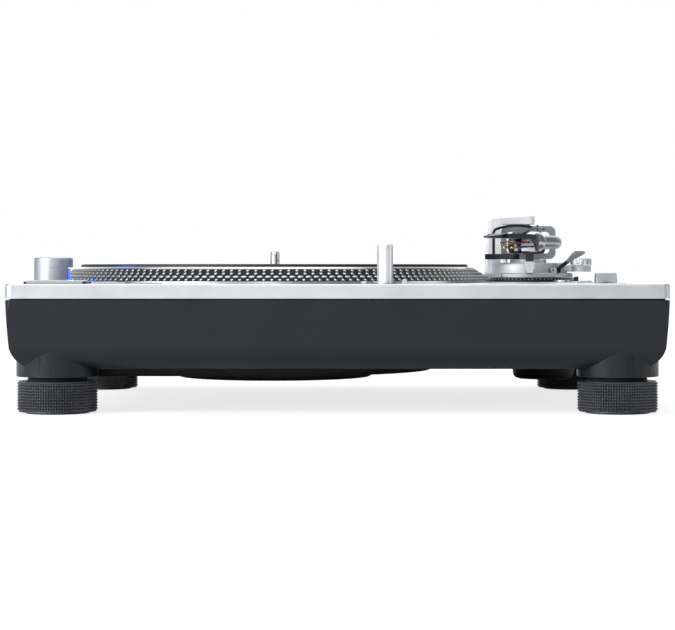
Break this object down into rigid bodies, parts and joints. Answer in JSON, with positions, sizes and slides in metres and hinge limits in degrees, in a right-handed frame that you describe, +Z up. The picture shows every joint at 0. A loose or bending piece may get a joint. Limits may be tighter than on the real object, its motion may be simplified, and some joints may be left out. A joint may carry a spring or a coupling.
{
  "type": "turntable",
  "caption": "Direct-drive record turntable: metal deck on a moulded base with screw feet, dotted platter, S-shaped gimbal tonearm, strobe tower, stylus lamp and pitch fader.",
  "frame": {"origin": "centre of the deck's outline, on the surface that the feet stand on", "axes": "+X to the right seen from the front, +Y to the back, +Z up"},
  "size_m": [0.453, 0.353, 0.1421],
  "materials": {
    "deck_aluminium": "satin",
    "base_plastic": "fine texture",
    "cover_plastic": "fine texture",
    "cast_aluminium": "cast",
    "circuit_board": "solder mask",
    "copper_wire": "enamelled wire",
    "brass_bearing": "turned",
    "thrust_plastic": "smooth",
    "tower_aluminium": "satin",
    "strobe_glass": "clear blue",
    "black_plastic": "satin",
    "brushed_trim": "brushed",
    "bright_trim": "bright",
    "gold_plate": "plated",
    "platter_aluminium": "dark anodised",
    "magnet_iron": "sintered",
    "mat_rubber": "moulded",
    "polished_steel": "polished",
    "lamp_glass": "frosted",
    "foot_rubber": "knurled",
    "black_anodised": "black anodised",
    "cast_silver": "satin",
    "yoke_silver": "fine blasted",
    "grey_metal": "satin",
    "gimbal_grey": "satin",
    "tube_aluminium": "satin",
    "polished_collar": "polished",
    "shell_grey": "dark anodised",
    "lead_wires": "insulated wire",
    "weight_grey": "satin",
    "adaptor_aluminium": "turned"
  },
  "bodies": {
    "deck": {"top_panel": "deck_aluminium", "base_shell": "base_plastic", "bottom_cover": "cover_plastic", "motor_cover": "cover_plastic", "arm_cover": "cover_plastic", "motor_frame": "cast_aluminium", "stator_board": "circuit_board", "stator_coils": "copper_wire", "bearing_housing": "brass_bearing", "thrust_pad": "thrust_plastic", "power_board": "circuit_board", "transformer": "copper_wire", "control_board": "circuit_board", "strobe_column": "tower_aluminium", "strobe_lens": "strobe_glass", "button_frame": "black_plastic", "lamp_sleeve": "cast_aluminium", "fader_plate": "brushed_trim", "headshell_socket": "bright_trim", "jack_panel": "black_plastic", "phono_jacks": "gold_plate", "ground_terminal": "bright_trim", "power_inlet": "black_plastic", "hinge_sockets": "black_plastic"},
    "platter_body": {"platter": "platter_aluminium", "rotor_magnet": "magnet_iron", "platter_mat": "mat_rubber", "spindle": "polished_steel"},
    "power_switch": {"power_knob": "tower_aluminium"},
    "start_key": {"start_stop_button": "brushed_trim"},
    "key_33": {"speed_button_33": "brushed_trim"},
    "key_45": {"speed_button_45": "brushed_trim"},
    "pop_up_lamp": {"stylus_lamp": "polished_steel", "lamp_lens": "lamp_glass"},
    "lamp_key": {"lamp_button": "bright_trim"},
    "pitch_fader": {"pitch_knob": "brushed_trim"},
    "reset_key": {"reset_button": "brushed_trim"},
    "foot_fl": {"foot_front_left": "foot_rubber"},
    "foot_fr": {"foot_front_right": "foot_rubber"},
    "foot_rl": {"foot_rear_left": "foot_rubber"},
    "foot_rr": {"foot_rear_right": "foot_rubber"},
    "height_adjuster": {"height_ring": "black_anodised"},
    "height_lever": {"height_lock": "black_plastic"},
    "arm_mount": {"arm_base": "cast_silver", "arm_yoke": "yoke_silver", "armrest": "bright_trim"},
    "rest_clip": {"armrest_clip": "black_plastic"},
    "arm_lift": {"lift_rail": "black_anodised"},
    "cue": {"cue_lever": "grey_metal"},
    "antiskate": {"antiskate_knob": "bright_trim"},
    "gimbal": {"gimbal_ring": "gimbal_grey"},
    "arm": {"pivot_block": "cast_silver", "arm_tube": "tube_aluminium", "headshell": "shell_grey", "finger_lift": "grey_metal", "headshell_leads": "lead_wires"},
    "collar": {"locking_collar": "polished_collar"},
    "weight": {"counterweight": "weight_grey"},
    "dial": {"force_dial": "black_plastic"},
    "adaptor": {"record_adaptor": "adaptor_aluminium"}
  },
  "joints": [
    {"name": "platter_spin", "type": "hinge", "parent": "deck", "child": "platter_body", "pos_m": [-0.0478, 0, 0.1011], "axis": [0, 0, 1], "continuous": true},
    {"name": "power_turn", "type": "hinge", "parent": "deck", "child": "power_switch", "pos_m": [-0.2055, -0.0845, 0.104], "axis": [0, 0, 1], "range_deg": [0, 30]},
    {"name": "start_press", "type": "slide", "parent": "deck", "child": "start_key", "axis": [0, 0, -1], "range_m": [0, 0.0012], "stiffness_N_per_m": 600, "springref_m": -0.001},
    {"name": "speed_33_press", "type": "slide", "parent": "deck", "child": "key_33", "axis": [0, 0, -1], "range_m": [0, 0.0012], "stiffness_N_per_m": 400, "springref_m": -0.001},
    {"name": "speed_45_press", "type": "slide", "parent": "deck", "child": "key_45", "axis": [0, 0, -1], "range_m": [0, 0.0012], "stiffness_N_per_m": 400, "springref_m": -0.001},
    {"name": "lamp_sink", "type": "slide", "parent": "deck", "child": "pop_up_lamp", "axis": [0, 0, -1], "range_m": [0, 0.026], "stiffness_N_per_m": 40, "springref_m": -0.02},
    {"name": "lamp_release", "type": "slide", "parent": "deck", "child": "lamp_key", "axis": [0, 0, -1], "range_m": [0, 0.0012], "stiffness_N_per_m": 300, "springref_m": -0.001},
    {"name": "pitch_slide", "type": "slide", "parent": "deck", "child": "pitch_fader", "axis": [0, 1, 0], "range_m": [-0.05, 0.05]},
    {"name": "reset_press", "type": "slide", "parent": "deck", "child": "reset_key", "axis": [0, 0, -1], "range_m": [0, 0.0012], "stiffness_N_per_m": 300, "springref_m": -0.001},
    {"name": "foot_fl_turn", "type": "hinge", "parent": "deck", "child": "foot_fl", "pos_m": [-0.1945, -0.1445, 0.012], "axis": [0, 0, 1], "range_deg": [-180, 180]},
    {"name": "foot_fr_turn", "type": "hinge", "parent": "deck", "child": "foot_fr", "pos_m": [0.1945, -0.1445, 0.012], "axis": [0, 0, 1], "range_deg": [-180, 180]},
    {"name": "foot_rl_turn", "type": "hinge", "parent": "deck", "child": "foot_rl", "pos_m": [-0.1945, 0.1445, 0.012], "axis": [0, 0, 1], "range_deg": [-180, 180]},
    {"name": "foot_rr_turn", "type": "hinge", "parent": "deck", "child": "foot_rr", "pos_m": [0.1945, 0.1445, 0.012], "axis": [0, 0, 1], "range_deg": [-180, 180]},
    {"name": "height_turn", "type": "hinge", "parent": "deck", "child": "height_adjuster", "pos_m": [0.15294, 0.077, 0.0915], "axis": [0, 0, 1], "range_deg": [0, 300]},
    {"name": "height_slide", "type": "slide", "parent": "deck", "child": "arm_mount", "axis": [0, 0, 1], "range_m": [0, 0.006]},
    {"name": "height_lock_turn", "type": "hinge", "parent": "deck", "child": "height_lever", "pos_m": [0.15294, 0.077, 0.09], "axis": [0, 0, 1], "range_deg": [0, 35]},
    {"name": "clip_turn", "type": "hinge", "parent": "arm_mount", "child": "rest_clip", "pos_m": [0.15623, 0.03369, 0.12565], "axis": [0.0663, 0.9978, 0], "range_deg": [-88, 0]},
    {"name": "cue_turn", "type": "hinge", "parent": "arm_mount", "child": "cue", "pos_m": [0.17294, 0.0505, 0.0988], "axis": [0.6293, 0.7771, 0], "range_deg": [0, 30]},
    {"name": "lift_slide", "type": "slide", "parent": "arm_mount", "child": "arm_lift", "axis": [0, 0, 1], "range_m": [-0.0022, 0]},
    {"name": "antiskate_turn", "type": "hinge", "parent": "arm_mount", "child": "antiskate", "pos_m": [0.19324, 0.06, 0.105], "axis": [0, 0, 1], "range_deg": [0, 300]},
    {"name": "arm_swing", "type": "hinge", "parent": "arm_mount", "child": "gimbal", "pos_m": [0.15294, 0.077, 0.1207], "axis": [0, 0, 1], "range_deg": [-43, 0]},
    {"name": "arm_tilt", "type": "hinge", "parent": "gimbal", "child": "arm", "pos_m": [0.15294, 0.077, 0.1207], "axis": [-0.9978, 0.0663, 0], "range_deg": [-1.5, 8]},
    {"name": "collar_turn", "type": "hinge", "parent": "arm", "child": "collar", "pos_m": [0.1388, -0.10212, 0.1192], "axis": [-0.5476, -0.8368, 0], "range_deg": [0, 60]},
    {"name": "weight_turn", "type": "hinge", "parent": "arm", "child": "weight", "pos_m": [0.15625, 0.12689, 0.1192], "axis": [0.0663, 0.9978, 0], "range_deg": [-180, 180]},
    {"name": "dial_turn", "type": "hinge", "parent": "arm", "child": "dial", "pos_m": [0.15526, 0.11192, 0.1192], "axis": [0.0663, 0.9978, 0], "range_deg": [-180, 180]},
    {"name": "adaptor_lift", "type": "slide", "parent": "deck", "child": "adaptor", "axis": [0, 0, 1], "range_m": [0, 0.02]}
  ],
  "couplings": [
    {"joint": "height_turn", "follows": "height_slide", "rad_per_m": 872.58},
    {"joint": "lift_slide", "follows": "cue_turn", "m_per_rad": -0.0042017}
  ]
}
